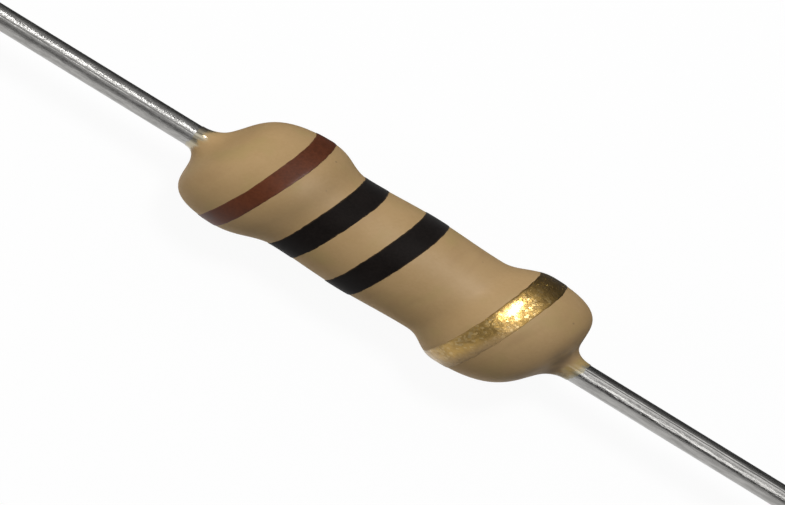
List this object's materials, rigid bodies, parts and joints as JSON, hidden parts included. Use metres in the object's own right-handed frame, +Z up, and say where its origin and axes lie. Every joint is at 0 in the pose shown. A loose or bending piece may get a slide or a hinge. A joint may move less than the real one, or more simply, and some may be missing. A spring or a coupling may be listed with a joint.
{
  "type": "axial resistor",
  "caption": "Carbon film resistor with a lacquered dog-bone body, printed colour bands and a straight wire lead at each end.",
  "frame": {"origin": "the middle of the ceramic rod on the axis of the leads, which is also the middle of the whole part", "axes": "+X along the leads from the brown band towards the gold band; +Z up when the part lies on its side"},
  "size_m": [0.0654, 0.0032, 0.0032],
  "materials": {
    "ceramic": "matt white ceramic",
    "carbon_film": "dull dark grey carbon",
    "cap_steel": "tinned pressed steel",
    "tinned_wire": "drawn tinned wire with fine lengthwise scratches",
    "tan_lacquer": "satin dipped lacquer",
    "brown_paint": "satin printed paint",
    "black_paint": "satin printed paint",
    "gold_paint": "bronze flake paint"
  },
  "bodies": {
    "root": {"ceramic_core": "ceramic", "carbon_film": "carbon_film", "end_cap_left": "cap_steel", "end_cap_right": "cap_steel", "lead_left": "tinned_wire", "lead_right": "tinned_wire", "lacquer_coat": "tan_lacquer", "band_1_brown": "brown_paint", "band_2_black": "black_paint", "band_3_black": "black_paint", "band_4_gold": "gold_paint"}
  },
  "joints": []
}
